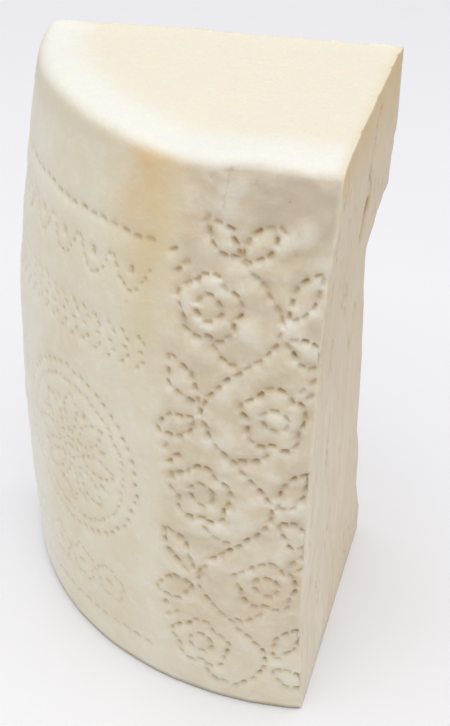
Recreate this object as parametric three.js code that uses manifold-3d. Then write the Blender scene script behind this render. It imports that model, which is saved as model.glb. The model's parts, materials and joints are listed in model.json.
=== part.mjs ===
// A tall quarter wedge of hard white sheep's milk cheese, cut from a whole standing drum.
//
// The wedge stands as the drum stood, foot down, with the barrel-shaped rind to the front and
// left. Two cut faces run from the rind to an upright edge, a little past the drum's centre.
// The top rim is soft and unevenly settled, and a long flake has broken off the upright edge.
//
// Millimetres, +Z up. The origin is the centre of the base of the wedge's bounding box.

import * as THREE from 'three';
import { mergeVertices } from 'three/addons/utils/BufferGeometryUtils.js';
import Module from 'manifold-3d';

// The whole drum.
const DRUM_HEIGHT = 300;
const BELLY_RADIUS = 164;
const BELLY_HEIGHT = 102;
const FOOT_RADIUS = 160.2;
const SHOULDER_RADIUS = 144.1;
const SHOULDER_FALL = 2.1; // power of the curve from the belly up to the shoulder
const FOOT_FALL = 2; // power of the curve from the belly down to the foot
const RIM_ROUNDING = 8.5;
const FOOT_ROUNDING = 2;
const TOP_CROWN = 1.6; // how much higher the middle of the top face is than its rim

// Where the old rim has settled below the even drum, or swelled above it.
const RIM_SETTLING = [
  { azimuth: -124, halfWidth: 9, depth: 3.6 },
  { azimuth: -155, halfWidth: 12, depth: -1.5 },
  { azimuth: -105, halfWidth: 6, depth: -1.3 },
];
const SETTLING_FOOT = 253; // height below which the settling has died out
const SETTLING_CORE = 84; // radius inside which the settling has died out

// The two upright cuts, as directions from the edge where they meet.
const EDGE_X = 29;
const EDGE_Y = -16;
const FRONT_CUT_AZIMUTH = -105.2;
const BACK_CUT_AZIMUTH = 169.2;

// The flake that broke off the upright edge, measured along the front cut.
const FLAKE_FOOT = 5;
const FLAKE_WIDEST = 212;
const FLAKE_LEDGE = 230;
const FLAKE_REACH = 57;
const FLAKE_TAPER = 0.82; // power of the slant from the foot up to the widest place
const LEDGE_SQUARENESS = 3; // power of the turn from the widest place into the ledge
const HOLLOW_AXIS_DISTANCE = 64; // the hollow curves round an axis this far outside the edge
const HOLLOW_AXIS_AZIMUTH = 10;

// Fineness of the facets.
const DRUM_SEGMENTS = 132;
const SIDE_RINGS = 18;
const TOP_RINGS = 7;
const ROUNDING_STEPS = 5;
const HOLLOW_SEGMENTS = 84;
const HOLLOW_RINGS = 14;
const LEDGE_RINGS = 6;

const CUT_LENGTH = 400; // long enough to pass right through the drum
const CUT_MARGIN = 10; // how far a cutting body passes above and below the drum

const CHEESE_COLOUR = '#e6dece';
const CHEESE_ROUGHNESS = 0.62;

const wasm = await Module();
wasm.setup();

const toRadians = THREE.MathUtils.degToRad;

function direction(azimuth) {
  const angle = toRadians(azimuth);
  return new THREE.Vector2(Math.cos(angle), Math.sin(angle));
}

// Points of an arc in the drum's profile, where x is the radius and y the height.
function arcPoints(centre, radius, fromAngle, toAngle) {
  const curve = new THREE.EllipseCurve(centre.x, centre.y, radius, radius, fromAngle, toAngle);
  return curve.getPoints(ROUNDING_STEPS);
}

// The barrel-shaped side: widest at the belly, falling away to the foot and the shoulder.
function sideRadius(height) {
  if (height < BELLY_HEIGHT) {
    const down = (BELLY_HEIGHT - height) / BELLY_HEIGHT;
    return BELLY_RADIUS - (BELLY_RADIUS - FOOT_RADIUS) * down ** FOOT_FALL;
  }
  const up = (height - BELLY_HEIGHT) / (DRUM_HEIGHT - BELLY_HEIGHT);
  return BELLY_RADIUS - (BELLY_RADIUS - SHOULDER_RADIUS) * up ** SHOULDER_FALL;
}

// The drum's half outline, from the middle of the foot up to the middle of the top.
function drumProfile() {
  const rimHeight = DRUM_HEIGHT - TOP_CROWN;
  const narrowing = (BELLY_RADIUS - SHOULDER_RADIUS) / (DRUM_HEIGHT - BELLY_HEIGHT);
  const lean = Math.atan(SHOULDER_FALL * narrowing);
  const sideTop = rimHeight - RIM_ROUNDING * (1 - Math.sin(lean));
  const rimCentre = new THREE.Vector2(
    sideRadius(sideTop) - RIM_ROUNDING * Math.cos(lean),
    rimHeight - RIM_ROUNDING,
  );
  const footCentre = new THREE.Vector2(sideRadius(FOOT_ROUNDING) - FOOT_ROUNDING, FOOT_ROUNDING);

  const points = [new THREE.Vector2(0, 0)];
  points.push(...arcPoints(footCentre, FOOT_ROUNDING, -Math.PI / 2, 0));
  for (let ring = 1; ring < SIDE_RINGS; ring += 1) {
    const height = THREE.MathUtils.lerp(FOOT_ROUNDING, sideTop, ring / SIDE_RINGS);
    points.push(new THREE.Vector2(sideRadius(height), height));
  }
  points.push(...arcPoints(rimCentre, RIM_ROUNDING, lean, Math.PI / 2));
  for (let ring = 1; ring <= TOP_RINGS; ring += 1) {
    const inward = 1 - ring / TOP_RINGS;
    points.push(new THREE.Vector2(rimCentre.x * inward, DRUM_HEIGHT - TOP_CROWN * inward ** 2));
  }
  return points;
}

// How far the rim has settled at this azimuth.
function settling(azimuth) {
  let depth = 0;
  for (const dip of RIM_SETTLING) {
    depth += dip.depth * Math.exp(-(((azimuth - dip.azimuth) / dip.halfWidth) ** 2));
  }
  return depth;
}

// A profile turned round the upright axis.
function turned(profile, segments) {
  return new THREE.LatheGeometry(profile, segments).rotateX(Math.PI / 2);
}

function drumGeometry() {
  const geometry = turned(drumProfile(), DRUM_SEGMENTS);
  const positions = geometry.getAttribute('position');
  for (let index = 0; index < positions.count; index += 1) {
    const x = positions.getX(index);
    const y = positions.getY(index);
    const z = positions.getZ(index);
    const azimuth = THREE.MathUtils.radToDeg(Math.atan2(y, x));
    const share = THREE.MathUtils.smoothstep(z, SETTLING_FOOT, DRUM_HEIGHT)
      * THREE.MathUtils.smoothstep(Math.hypot(x, y), SETTLING_CORE, SHOULDER_RADIUS);
    positions.setZ(index, z - share * settling(azimuth));
  }
  return geometry;
}

// The corner that the two cuts keep, as a tall prism through the drum.
function wedgeGeometry() {
  const edge = new THREE.Vector2(EDGE_X, EDGE_Y);
  const front = direction(FRONT_CUT_AZIMUTH).multiplyScalar(CUT_LENGTH);
  const back = direction(BACK_CUT_AZIMUTH).multiplyScalar(CUT_LENGTH);
  const plan = new THREE.Shape([
    edge,
    edge.clone().add(back),
    edge.clone().add(back).add(front),
    edge.clone().add(front),
  ]);
  const depth = DRUM_HEIGHT + 2 * CUT_MARGIN;
  const geometry = new THREE.ExtrudeGeometry(plan, { depth, bevelEnabled: false });
  return geometry.translate(0, 0, -CUT_MARGIN);
}

// How far the break reaches along the front cut at this height.
function flakeReach(height) {
  if (height < FLAKE_WIDEST) {
    const rise = (height - FLAKE_FOOT) / (FLAKE_WIDEST - FLAKE_FOOT);
    return FLAKE_REACH * rise ** FLAKE_TAPER;
  }
  const turn = (height - FLAKE_WIDEST) / (FLAKE_LEDGE - FLAKE_WIDEST);
  return FLAKE_REACH * (1 - turn ** LEDGE_SQUARENESS) ** (1 / LEDGE_SQUARENESS);
}

// The hollow that the flake left: a spindle whose axis stands outside the upright edge.
function flakeGeometry() {
  const spread = Math.cos(toRadians(FRONT_CUT_AZIMUTH - HOLLOW_AXIS_AZIMUTH));
  const hollowPoint = (height) => {
    const reach = flakeReach(height);
    const radius = Math.sqrt(
      HOLLOW_AXIS_DISTANCE ** 2 + reach ** 2 - 2 * HOLLOW_AXIS_DISTANCE * reach * spread,
    );
    return new THREE.Vector2(radius, height);
  };
  const profile = [new THREE.Vector2(0, FLAKE_FOOT)];
  for (let ring = 0; ring < HOLLOW_RINGS; ring += 1) {
    profile.push(hollowPoint(THREE.MathUtils.lerp(FLAKE_FOOT, FLAKE_WIDEST, ring / HOLLOW_RINGS)));
  }
  for (let ring = 0; ring <= LEDGE_RINGS; ring += 1) {
    const turn = Math.sin((Math.PI / 2) * (ring / LEDGE_RINGS));
    profile.push(hollowPoint(THREE.MathUtils.lerp(FLAKE_WIDEST, FLAKE_LEDGE, turn)));
  }
  profile.push(new THREE.Vector2(0, FLAKE_LEDGE));
  const axis = direction(HOLLOW_AXIS_AZIMUTH).multiplyScalar(HOLLOW_AXIS_DISTANCE);
  return turned(profile, HOLLOW_SEGMENTS).translate(EDGE_X + axis.x, EDGE_Y + axis.y, 0);
}

// A closed solid from a three.js geometry, with its shared corners merged.
function solid(geometry) {
  const bare = geometry.clone();
  bare.deleteAttribute('normal');
  bare.deleteAttribute('uv');
  const merged = mergeVertices(bare);
  const corners = merged.getIndex().array;
  const triangles = [];
  for (let first = 0; first < corners.length; first += 3) {
    const [a, b, c] = corners.slice(first, first + 3);
    if (a !== b && b !== c && c !== a) {
      triangles.push(a, b, c);
    }
  }
  return new wasm.Manifold(new wasm.Mesh({
    numProp: 3,
    vertProperties: new Float32Array(merged.getAttribute('position').array),
    triVerts: new Uint32Array(triangles),
  }));
}

// The three.js geometry of a closed solid.
function geometryOf(body) {
  const mesh = body.getMesh();
  const geometry = new THREE.BufferGeometry();
  geometry.setAttribute('position', new THREE.BufferAttribute(mesh.vertProperties, 3));
  geometry.setIndex(new THREE.BufferAttribute(mesh.triVerts, 1));
  geometry.computeVertexNormals();
  return geometry;
}

function cheeseChunk() {
  const wedge = solid(drumGeometry()).intersect(solid(wedgeGeometry()));
  const geometry = geometryOf(wedge.subtract(solid(flakeGeometry())));
  geometry.computeBoundingBox();
  const centre = geometry.boundingBox.getCenter(new THREE.Vector3());
  const material = new THREE.MeshStandardMaterial({
    color: CHEESE_COLOUR,
    roughness: CHEESE_ROUGHNESS,
    metalness: 0,
  });
  const mesh = new THREE.Mesh(geometry, material);
  mesh.name = 'cheese_chunk';
  mesh.position.set(-centre.x, -centre.y, -geometry.boundingBox.min.z);
  return mesh;
}

const chunk = new THREE.Group();
chunk.add(cheeseChunk());

export default chunk;
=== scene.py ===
import json
import math

import bpy
import numpy as np
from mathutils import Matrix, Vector, noise

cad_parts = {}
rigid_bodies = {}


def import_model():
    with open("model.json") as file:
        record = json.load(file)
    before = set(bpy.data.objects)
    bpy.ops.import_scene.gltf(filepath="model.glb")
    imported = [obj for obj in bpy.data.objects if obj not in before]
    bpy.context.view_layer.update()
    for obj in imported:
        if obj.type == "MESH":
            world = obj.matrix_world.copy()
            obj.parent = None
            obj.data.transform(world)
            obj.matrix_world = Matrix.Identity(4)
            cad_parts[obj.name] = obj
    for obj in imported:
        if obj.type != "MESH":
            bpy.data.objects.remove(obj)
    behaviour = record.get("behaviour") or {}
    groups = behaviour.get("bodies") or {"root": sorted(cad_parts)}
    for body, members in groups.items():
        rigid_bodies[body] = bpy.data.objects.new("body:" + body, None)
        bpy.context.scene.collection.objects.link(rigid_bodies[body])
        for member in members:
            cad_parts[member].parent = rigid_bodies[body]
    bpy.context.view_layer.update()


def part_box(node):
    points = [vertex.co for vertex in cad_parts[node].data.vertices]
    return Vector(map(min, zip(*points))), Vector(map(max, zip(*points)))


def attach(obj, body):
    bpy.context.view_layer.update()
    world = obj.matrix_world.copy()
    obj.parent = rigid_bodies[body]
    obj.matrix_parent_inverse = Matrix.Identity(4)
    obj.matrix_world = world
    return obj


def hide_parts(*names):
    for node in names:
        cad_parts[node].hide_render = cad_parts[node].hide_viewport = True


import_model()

MM = 0.001

# ------------------------------------------------------------------------------------------
# The drum that the wedge was cut from. Hard sheep's milk curd is pressed in a tall hoop, which
# gives flat ends, a barrel-shaped side and a soft rim that settles unevenly as it ages. These
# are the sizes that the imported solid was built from; its box says where the drum's axis stands.
# ------------------------------------------------------------------------------------------
DRUM_HEIGHT = 300 * MM
BELLY_RADIUS = 164 * MM
BELLY_HEIGHT = 102 * MM
FOOT_RADIUS = 160.2 * MM
SHOULDER_RADIUS = 144.1 * MM
SHOULDER_FALL = 2.1
FOOT_FALL = 2
RIM_ROUNDING = 8.5 * MM
FOOT_ROUNDING = 2 * MM
TOP_CROWN = 1.6 * MM

RIM_SETTLING = [(-124, 9, 3.6 * MM), (-155, 12, -1.5 * MM), (-105, 6, -1.3 * MM)]
SETTLING_FOOT = 253 * MM
SETTLING_CORE = 84 * MM

UPRIGHT_EDGE = np.array([29 * MM, -16 * MM])
FRONT_CUT_AZIMUTH = -105.2
BACK_CUT_AZIMUTH = 169.2


def heading(azimuth):
    angle = math.radians(azimuth)
    return np.array([math.cos(angle), math.sin(angle)])


front_cut = heading(FRONT_CUT_AZIMUTH)
back_cut = heading(BACK_CUT_AZIMUTH)


def cut_reach(cut, radius):
    """How far along a cut, from the upright edge, it meets a circle round the drum's axis."""
    along = UPRIGHT_EDGE @ cut
    return -along + np.sqrt(along**2 - UPRIGHT_EDGE @ UPRIGHT_EDGE + radius**2)


def cut_azimuth(cut, radius):
    corner = UPRIGHT_EDGE + cut * cut_reach(cut, radius)[..., None]
    azimuth = np.degrees(np.arctan2(corner[..., 1], corner[..., 0]))
    return np.where(azimuth > 0, azimuth - 360, azimuth)


def side_radius(height):
    down = np.clip((BELLY_HEIGHT - height) / BELLY_HEIGHT, 0, 1)
    up = np.clip((height - BELLY_HEIGHT) / (DRUM_HEIGHT - BELLY_HEIGHT), 0, 1)
    foot_loss = (BELLY_RADIUS - FOOT_RADIUS) * down**FOOT_FALL
    shoulder_loss = (BELLY_RADIUS - SHOULDER_RADIUS) * up**SHOULDER_FALL
    return BELLY_RADIUS - foot_loss - shoulder_loss


rim_height = DRUM_HEIGHT - TOP_CROWN
side_lean = math.atan(
    SHOULDER_FALL * (BELLY_RADIUS - SHOULDER_RADIUS) / (DRUM_HEIGHT - BELLY_HEIGHT)
)
side_top = rim_height - RIM_ROUNDING * (1 - math.sin(side_lean))
rim_centre = side_radius(side_top) - RIM_ROUNDING * math.cos(side_lean)
foot_centre = side_radius(FOOT_ROUNDING) - FOOT_ROUNDING


def top_height(radius):
    return DRUM_HEIGHT - TOP_CROWN * (radius / rim_centre) ** 2


front_corner = UPRIGHT_EDGE + front_cut * cut_reach(front_cut, np.array(BELLY_RADIUS))
lowest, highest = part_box("cheese_chunk")
axis = np.array([highest.x - UPRIGHT_EDGE[0], lowest.y - front_corner[1]])

# ------------------------------------------------------------------------------------------
# The view: a long lens from standing height, tipped down at the wedge on its table and a
# little out of level.
# ------------------------------------------------------------------------------------------
CAMERA_FROM_AXIS = np.array([-52.4, -633.2]) * MM
CAMERA_HEIGHT = 538.6 * MM
CAMERA_TIP = math.radians(34.36)
CAMERA_ROLL = math.radians(1.05)
CAMERA_LENS = 67.0
CAMERA_SENSOR = 36.0

bpy.ops.object.select_all(action="DESELECT")
bpy.ops.object.camera_add(location=(*(axis + CAMERA_FROM_AXIS), CAMERA_HEIGHT))
camera = bpy.context.object
camera.name = "camera"
camera.rotation_mode = "ZYX"
camera.rotation_euler = (math.pi / 2 - CAMERA_TIP, 0, CAMERA_ROLL)
camera.data.sensor_fit = "VERTICAL"
camera.data.sensor_height = CAMERA_SENSOR
camera.data.lens = CAMERA_LENS
bpy.context.scene.camera = camera

# ------------------------------------------------------------------------------------------
# The blank wedge: the piece of drum between the two knife cuts, before any surface detail.
# The side of the rind, the top and the two cut faces are sheets of faces sewn together along
# their shared edges, and the foot is filled flat. The cuts part the paste cleanly.
# ------------------------------------------------------------------------------------------
CELL = 1.7 * MM
EDGE_CELL = 0.7 * MM
CELL_GROWTH = 1.3
EDGE_CROWDING = 0.6
RIM_STEPS = 6
FOOT_STEPS = 3
SEWING = 0.01 * MM


def points_of(piece):
    points = np.empty(len(piece.data.vertices) * 3, np.float32)
    piece.data.vertices.foreach_get("co", points)
    return points.reshape(-1, 3).astype(float)


def place(piece, points):
    piece.data.vertices.foreach_set("co", points.astype(np.float32).ravel())
    piece.data.update()


def sheet(name, finish, columns, rows):
    """A flat grid of faces with its finish, and each of its points' column and row."""
    bpy.ops.object.select_all(action="DESELECT")
    bpy.ops.mesh.primitive_grid_add(x_subdivisions=columns, y_subdivisions=rows, size=1)
    piece = bpy.context.object
    piece.name = name
    piece.data.materials.append(finish)
    across, along, _ = points_of(piece).T
    column = np.rint((across + 0.5) * columns).astype(int)
    row = np.rint((along + 0.5) * rows).astype(int)
    return piece, column, row


def edit(piece, kind):
    """Opens a piece in edit mode with nothing selected."""
    bpy.ops.object.select_all(action="DESELECT")
    piece.select_set(True)
    bpy.context.view_layer.objects.active = piece
    bpy.ops.object.mode_set(mode="EDIT")
    bpy.ops.mesh.select_mode(type=kind)
    bpy.ops.mesh.select_all(action="DESELECT")


def smoothstep(value, low, high):
    share = np.clip((value - low) / (high - low), 0, 1)
    return share * share * (3 - 2 * share)


def rim_drop(points):
    """How far each point has sunk as the rim settled."""
    azimuth = np.degrees(np.arctan2(points[:, 1], points[:, 0]))
    depth = sum(d * np.exp(-(((azimuth - at) / half) ** 2)) for at, half, d in RIM_SETTLING)
    share = smoothstep(points[:, 2], SETTLING_FOOT, DRUM_HEIGHT)
    share = share * smoothstep(np.hypot(points[:, 0], points[:, 1]), SETTLING_CORE, SHOULDER_RADIUS)
    return share * depth


def settled(points):
    return points - np.outer(rim_drop(points), (0, 0, 1))


foot_turn = np.linspace(-math.pi / 2, 0, FOOT_STEPS + 1)
rim_turn = np.linspace(side_lean, math.pi / 2, RIM_STEPS + 1)
side_rows = np.arange(FOOT_ROUNDING + CELL, side_top - CELL / 2, CELL)
row_radius = np.concatenate([
    foot_centre + FOOT_ROUNDING * np.cos(foot_turn),
    side_radius(side_rows),
    rim_centre + RIM_ROUNDING * np.cos(rim_turn),
])
row_height = np.concatenate([
    FOOT_ROUNDING * (1 + np.sin(foot_turn)),
    side_rows,
    rim_height - RIM_ROUNDING * (1 - np.sin(rim_turn)),
])

# Columns are close together near the cuts, where the rind will be worn round.
front_azimuth = float(cut_azimuth(front_cut, np.array(BELLY_RADIUS)))
back_azimuth = float(cut_azimuth(back_cut, np.array(BELLY_RADIUS)))
rind_width = math.radians(front_azimuth - back_azimuth) * BELLY_RADIUS
column_steps = [EDGE_CELL]
while 2 * sum(column_steps) < rind_width:
    column_steps.append(min(column_steps[-1] * CELL_GROWTH, CELL))
half_count = len(column_steps)
half_shares = np.cumsum([0, *column_steps]) / sum(column_steps) / 2
across_shares = np.concatenate([half_shares, 1 - half_shares[-2::-1]])
even_shares = np.linspace(0, 1, half_count + 1)
outward_shares = even_shares - EDGE_CROWDING * np.sin(2 * math.pi * even_shares) / (2 * math.pi)


def rind_sheet(finish):
    piece, column, row = sheet("cheese_chunk_body", finish, 2 * half_count, len(row_radius) - 1)
    radius = row_radius[row]
    start = cut_azimuth(back_cut, radius)
    azimuth = np.radians(start + (cut_azimuth(front_cut, radius) - start) * across_shares[column])
    place(piece, np.column_stack([radius * np.cos(azimuth), radius * np.sin(azimuth), row_height[row]]))
    return piece


def top_sheet(finish):
    """The top face: a patch between the two cuts and the two halves of the rim."""
    piece, column, row = sheet("top", finish, half_count, half_count)
    start, end = [float(cut_azimuth(cut, np.array(rim_centre))) for cut in (back_cut, front_cut)]
    azimuth = np.radians(start + (end - start) * across_shares)
    rim = rim_centre * np.column_stack([np.cos(azimuth), np.sin(azimuth)])
    front = UPRIGHT_EDGE + np.outer(outward_shares, rim[-1] - UPRIGHT_EDGE)
    back = UPRIGHT_EDGE + np.outer(outward_shares, rim[0] - UPRIGHT_EDGE)
    u = outward_shares[column][:, None]
    v = outward_shares[row][:, None]
    between_cuts = (1 - v) * front[column] + v * rim[column]
    between_rims = (1 - u) * back[row] + u * rim[2 * half_count - row]
    corners = (1 - u) * ((1 - v) * UPRIGHT_EDGE + v * rim[0]) + u * ((1 - v) * rim[-1] + v * rim[half_count])
    plan = between_cuts + between_rims - corners
    place(piece, np.column_stack([plan, top_height(np.hypot(*plan.T))]))
    return piece


def cut_sheet(cut, finish):
    piece, column, row = sheet("cut", finish, half_count, len(row_radius) - 1)
    rind = UPRIGHT_EDGE + cut * cut_reach(cut, row_radius[row])[:, None]
    plan = UPRIGHT_EDGE + (rind - UPRIGHT_EDGE) * outward_shares[column][:, None]
    level = top_height(np.hypot(*plan.T)) / top_height(np.hypot(*rind.T))
    place(piece, np.column_stack([plan, row_height[row] * level]))
    return piece


rind_finish = bpy.data.materials.new("brined_rind")
paste_finish = bpy.data.materials.new("cut_paste")
cheese = rind_sheet(rind_finish)
sewn = [cheese, top_sheet(rind_finish)]
for cut in (front_cut, back_cut):
    sewn.append(cut_sheet(cut, paste_finish))
for part in sewn:
    part.select_set(True)
bpy.context.view_layer.objects.active = cheese
bpy.ops.object.join()
place(cheese, settled(points_of(cheese)))

edit(cheese, "VERT")
bpy.ops.mesh.select_all(action="SELECT")
bpy.ops.mesh.remove_doubles(threshold=SEWING)
bpy.ops.mesh.select_all(action="DESELECT")
bpy.ops.mesh.select_non_manifold()
bpy.ops.mesh.edge_face_add()
bpy.ops.mesh.select_all(action="SELECT")
bpy.ops.mesh.normals_make_consistent(inside=False)
bpy.ops.object.mode_set(mode="OBJECT")

# ------------------------------------------------------------------------------------------
# The broken edge. Hard aged paste doesn't cut to a clean arris: a long flake has snapped
# off the upright edge, leaving a hollow with a rough, granular, shell-like fracture and a
# ledge at its top. It is cut out by a rough spindle that stands outside the edge.
# ------------------------------------------------------------------------------------------
FLAKE_FOOT = 5 * MM
FLAKE_WIDEST = 212 * MM
FLAKE_LEDGE = 230 * MM
FLAKE_REACH = 57 * MM
FLAKE_TAPER = 0.82
LEDGE_SQUARENESS = 3
HOLLOW_AXIS_DISTANCE = 64 * MM
HOLLOW_AXIS_AZIMUTH = 10
HOLLOW_COLUMNS = 120
HOLLOW_CROWDING = 0.7
LEDGE_ROWS = 24
FRACTURE_WAVES = [(46 * MM, 2.6 * MM), (17 * MM, 3.2 * MM), (6 * MM, 1.0 * MM)]
FRACTURE_GRAIN = 1.5


def flake_reach(height):
    rise = np.clip((height - FLAKE_FOOT) / (FLAKE_WIDEST - FLAKE_FOOT), 0, 1)
    turn = np.clip((height - FLAKE_WIDEST) / (FLAKE_LEDGE - FLAKE_WIDEST), 0, 1)
    return FLAKE_REACH * rise**FLAKE_TAPER * (1 - turn**LEDGE_SQUARENESS) ** (1 / LEDGE_SQUARENESS)


def lumps(points, size, octaves, place_in_noise):
    """Smooth random lumps of a given size, about -1 to 1, and the same at each run."""
    spots = points / np.array(size) + place_in_noise
    return np.array([noise.fractal(Vector(spot), 1.0, 2.0, octaves) for spot in spots])


climb = np.arange(FLAKE_FOOT, FLAKE_WIDEST, CELL)
ledge_turn = np.sin(math.pi / 2 * np.linspace(0, 1, LEDGE_ROWS + 1))
hollow_height = np.concatenate([climb, FLAKE_WIDEST + (FLAKE_LEDGE - FLAKE_WIDEST) * ledge_turn])
reach = flake_reach(hollow_height)
spread = math.cos(math.radians(FRONT_CUT_AZIMUTH - HOLLOW_AXIS_AZIMUTH))
hollow_radius = np.sqrt(HOLLOW_AXIS_DISTANCE**2 + reach**2 - 2 * HOLLOW_AXIS_DISTANCE * reach * spread)
hollow_radius = np.concatenate([[0], hollow_radius, [0]])
hollow_height = np.concatenate([[FLAKE_FOOT], hollow_height, [FLAKE_LEDGE]])

broken_finish = bpy.data.materials.new("broken_paste")
flake, column, row = sheet("flake", broken_finish, HOLLOW_COLUMNS, len(hollow_radius) - 1)
sweep = 2 * column / HOLLOW_COLUMNS - 1
sweep = math.pi * ((1 - HOLLOW_CROWDING) * sweep + HOLLOW_CROWDING * sweep**3)
outward = math.radians(HOLLOW_AXIS_AZIMUTH + 180) + sweep
ray = np.column_stack([np.cos(outward), np.sin(outward), np.zeros(len(outward))])
hollow_axis = UPRIGHT_EDGE + HOLLOW_AXIS_DISTANCE * heading(HOLLOW_AXIS_AZIMUTH)
spindle = ray * hollow_radius[row][:, None] + np.column_stack([
    np.full(len(row), hollow_axis[0]), np.full(len(row), hollow_axis[1]), hollow_height[row]
])
wall = smoothstep(hollow_radius[row], 0, HOLLOW_AXIS_DISTANCE)
for size, swing in FRACTURE_WAVES:
    rough = lumps(spindle, (size, size, size * FRACTURE_GRAIN), 2, (3, 1, 7))
    spindle += ray * (wall * swing * rough)[:, None]
    rough = lumps(spindle, (size, size, size), 2, (9, 4, 2))
    spindle[:, 2] += wall * smoothstep(hollow_height[row], FLAKE_WIDEST, FLAKE_LEDGE) * swing * rough
place(flake, spindle)
edit(flake, "VERT")
bpy.ops.mesh.select_all(action="SELECT")
bpy.ops.mesh.remove_doubles(threshold=SEWING)
bpy.ops.mesh.normals_make_consistent(inside=False)
bpy.ops.object.mode_set(mode="OBJECT")

bpy.ops.object.select_all(action="DESELECT")
cheese.select_set(True)
bpy.context.view_layer.objects.active = cheese
snap = cheese.modifiers.new("snap", "BOOLEAN")
snap.object = flake
snap.operation = "DIFFERENCE"
snap.solver = "EXACT"
snap.material_mode = "TRANSFER"
bpy.ops.object.modifier_apply(modifier="snap")
bpy.data.objects.remove(flake)

# ------------------------------------------------------------------------------------------
# Worn edges. Handling rounds the knife's edges off by a millimetre or two, the rind's most of
# all. The points near each sharp edge are smoothed, and the foot stays flat.
# ------------------------------------------------------------------------------------------
SHARP_ANGLE = math.radians(48)
WORN_CELLS = 2
WEAR_PASSES = 4
FLAT_FOOT = 0.5 * MM

edit(cheese, "EDGE")
bpy.ops.mesh.edges_select_sharp(sharpness=SHARP_ANGLE)
for _ in range(WORN_CELLS):
    bpy.ops.mesh.select_more()
bpy.ops.object.mode_set(mode="OBJECT")
worn = np.array([v.select for v in cheese.data.vertices]) & (points_of(cheese)[:, 2] > FLAT_FOOT)
edit(cheese, "VERT")
bpy.ops.object.mode_set(mode="OBJECT")
cheese.data.vertices.foreach_set("select", worn)
bpy.ops.object.mode_set(mode="EDIT")
bpy.ops.mesh.vertices_smooth(factor=0.5, repeat=WEAR_PASSES)
bpy.ops.object.mode_set(mode="OBJECT")

# ------------------------------------------------------------------------------------------
# The pressed ornament. The hoop's lining is studded with short blunt ribs that press rows of
# dashes into the young rind. Here they draw a vine with leaves and flowers up the right of the
# rind, and on the left a medallion of petals between bands of dashes and small flowers. Whey
# tints the marks tan, and painted shade darkens their depths and top walls. Places on the rind
# are in mm: x right from the front corner, y up.
# ------------------------------------------------------------------------------------------
MARK_SEED = 11
MARK_JITTER = 0.4
MARK_TURN = 7
MARK_WIDTHS = (0.9, 1.1)
DASH = dict(length=4.2, width=2.0, depth=1.4, pitch=6.0, halo=1)
DOT = dict(length=2.6, width=1.6, depth=1.0, pitch=4.6, halo=0.4)
OVAL = dict(length=4.6, width=2.4, depth=1.1, pitch=7.8, halo=0.6)
BEAD = dict(length=3.0, width=2.2, depth=1.2, pitch=6.2, halo=0.5)
FAINT = 0.58
MARK_FIRMNESS = (0.6, 1.1)
VINE_X = -37
VINE_SWING = 18
VINE_WAVE = 98
VINE_FOOT = 8
VINE_TOP = 256
VINE_POINTS = 400
FIELD_RIGHT = -84
FIELD_LEFT = -262
RING_POINTS = 97
FLOWER_POINTS = 181
CURVE_POINTS = 33
FLOWER_NOTCHES = 0.84
PETAL_SWELL = 0.2
LOOK_AHEAD = 0.5

chance = np.random.default_rng(MARK_SEED)
marks = []


def turned_by(points, angle):
    """Flat points turned anticlockwise by an angle in degrees."""
    along = heading(angle)
    return points @ np.array([along, (-along[1], along[0])])


def ring(centre, radius):
    turn = np.linspace(0, 2 * math.pi, RING_POINTS)
    return np.array(centre) + radius * np.column_stack([np.cos(turn), np.sin(turn)])


def flower(centre, radius, petals):
    """The scalloped outline of a flower."""
    turn = np.linspace(0, 2 * math.pi, FLOWER_POINTS)
    edge = radius * (FLOWER_NOTCHES + PETAL_SWELL * np.abs(np.cos(petals / 2 * turn)))
    return np.array(centre) + edge[:, None] * np.column_stack([np.sin(turn), np.cos(turn)])


def leaf(foot, angle, length, width):
    """The outline of a pointed leaf that grows from its foot."""
    share = np.linspace(0, 1, CURVE_POINTS)
    edge = np.column_stack([length * share, width / 2 * np.sin(math.pi * share)])
    outline = np.concatenate([edge, edge[::-1] * (1, -1)])
    return np.array(foot) + turned_by(outline, angle)


def bend(start, middle, end):
    """A bowed line from start to end, drawn towards its middle point."""
    share = np.linspace(0, 1, CURVE_POINTS)[:, None]
    start, middle, end = np.array(start), np.array(middle), np.array(end)
    return (1 - share) ** 2 * start + 2 * share * (1 - share) * middle + share**2 * end


def press_line(line, rib, tint):
    """Lays evenly spaced marks along a line, with a little unevenness."""
    steps = np.hypot(*np.diff(line, axis=0).T)
    run = np.concatenate([[0], np.cumsum(steps)])
    count = max(1, round(run[-1] / rib["pitch"]))
    stops = (np.arange(count) + 0.5) * run[-1] / count
    for stop in stops:
        x, y = [np.interp(stop, run, line[:, side]) for side in (0, 1)]
        ahead, behind = min(stop + LOOK_AHEAD, run[-1]), max(stop - LOOK_AHEAD, 0)
        along = [np.interp(ahead, run, line[:, side]) - np.interp(behind, run, line[:, side])
                 for side in (0, 1)]
        press_mark(x, y, math.degrees(math.atan2(along[1], along[0])), rib, tint)


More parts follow.
